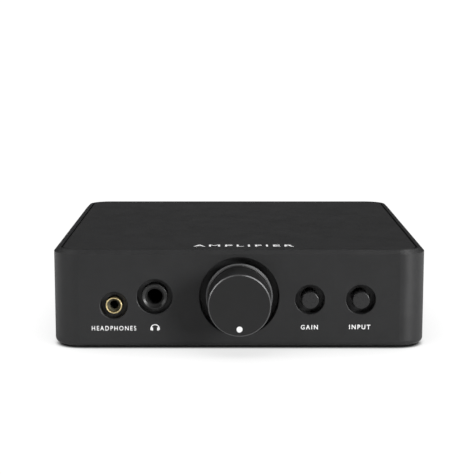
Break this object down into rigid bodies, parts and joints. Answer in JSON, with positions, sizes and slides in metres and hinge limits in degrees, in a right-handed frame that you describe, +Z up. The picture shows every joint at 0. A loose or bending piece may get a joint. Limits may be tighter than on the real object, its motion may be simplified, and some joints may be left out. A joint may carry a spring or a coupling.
{
  "type": "headphone amplifier",
  "caption": "Square, flat desk-top headphone amplifier with a large front volume knob, two push buttons, two headphone jacks, a flush top cover and rear phono sockets.",
  "frame": {"origin": "middle of the bounding box's footprint, on the plane that the feet stand on", "axes": "+Z up, the front with the knob faces -Y, +Y runs front to back, +X to the right seen from the front"},
  "size_m": [0.1524, 0.1792, 0.0406],
  "materials": {
    "case_plastic": "fine moulded texture, satin charcoal black",
    "cover_plastic": "fine moulded texture, satin charcoal black",
    "panel_plastic": "fine moulded texture, black",
    "foot_rubber": "matt moulded rubber",
    "screw_steel": "zinc plated",
    "screw_black": "blackened steel",
    "board_laminate": "solder mask over glass-epoxy laminate",
    "knob_metal": "black anodised, fine bead blasted, bevelled edges",
    "pointer_white": "white inlay",
    "pot_steel": "stamped steel",
    "pot_brass": "turned brass",
    "shaft_metal": "turned aluminium",
    "pot_plastic": "phenolic",
    "switch_plastic": "moulded switch body",
    "button_plastic": "satin black cap",
    "plunger_plastic": "natural acetal",
    "jack_plastic": "black moulded socket body",
    "contact_brass": "spring brass",
    "gold_plate": "gold plated",
    "nickel_plate": "nickel plated",
    "insulator_white": "white insulator",
    "insulator_red": "red insulator",
    "capacitor_sleeve": "shrink sleeve",
    "film_box": "red film capacitor box",
    "chip_epoxy": "moulded epoxy package",
    "relay_plastic": "sealed relay case",
    "resistor_lacquer": "lacquered body"
  },
  "bodies": {
    "enclosure": {"amplifier_chips": "chip_epoxy", "board_screws": "screw_steel", "cover_screws": "screw_steel", "film_capacitors": "film_box", "filter_capacitors": "capacitor_sleeve", "gain_switch": "switch_plastic", "input_switch": "switch_plastic", "large_jack_body": "jack_plastic", "large_jack_contacts": "contact_brass", "line_in_jack_body": "jack_plastic", "line_in_jack_ring": "nickel_plate", "main_board": "board_laminate", "main_case": "case_plastic", "output_buffer_chips": "chip_epoxy", "output_relay": "relay_plastic", "pot_bushing": "pot_brass", "pot_element": "pot_plastic", "pot_housing": "pot_steel", "power_inlet": "jack_plastic", "power_inlet_pin": "nickel_plate", "power_switch": "switch_plastic", "rca_barrels": "gold_plate", "rca_center_contacts": "gold_plate", "rca_input_housing": "jack_plastic", "rca_left_insulators": "insulator_white", "rca_output_housing": "jack_plastic", "rca_right_insulators": "insulator_red", "rca_screws": "screw_black", "rear_panel": "panel_plastic", "rear_panel_screws": "screw_black", "rectifier_diodes": "chip_epoxy", "resistors": "resistor_lacquer", "rubber_feet": "foot_rubber", "small_jack_body": "jack_plastic", "small_jack_contacts": "contact_brass", "small_jack_ring": "gold_plate", "top_cover": "cover_plastic", "voltage_regulators": "chip_epoxy"},
    "knob": {"volume_knob": "knob_metal", "knob_pointer": "pointer_white", "pot_shaft": "shaft_metal", "pot_wiper": "pot_plastic"},
    "gain_key": {"gain_button": "button_plastic", "gain_plunger": "plunger_plastic"},
    "input_key": {"input_button": "button_plastic", "input_plunger": "plunger_plastic"}
  },
  "joints": [
    {"name": "knob_turn", "type": "hinge", "parent": "enclosure", "child": "knob", "pos_m": [0, -0.07175, 0.02157], "axis": [0, 1, 0], "range_deg": [0, 300]},
    {"name": "gain_press", "type": "slide", "parent": "enclosure", "child": "gain_key", "axis": [0, 1, 0], "range_m": [0, 0.0025], "stiffness_N_per_m": 450, "springref_m": -0.001},
    {"name": "input_press", "type": "slide", "parent": "enclosure", "child": "input_key", "axis": [0, 1, 0], "range_m": [0, 0.0025], "stiffness_N_per_m": 450, "springref_m": -0.001}
  ]
}
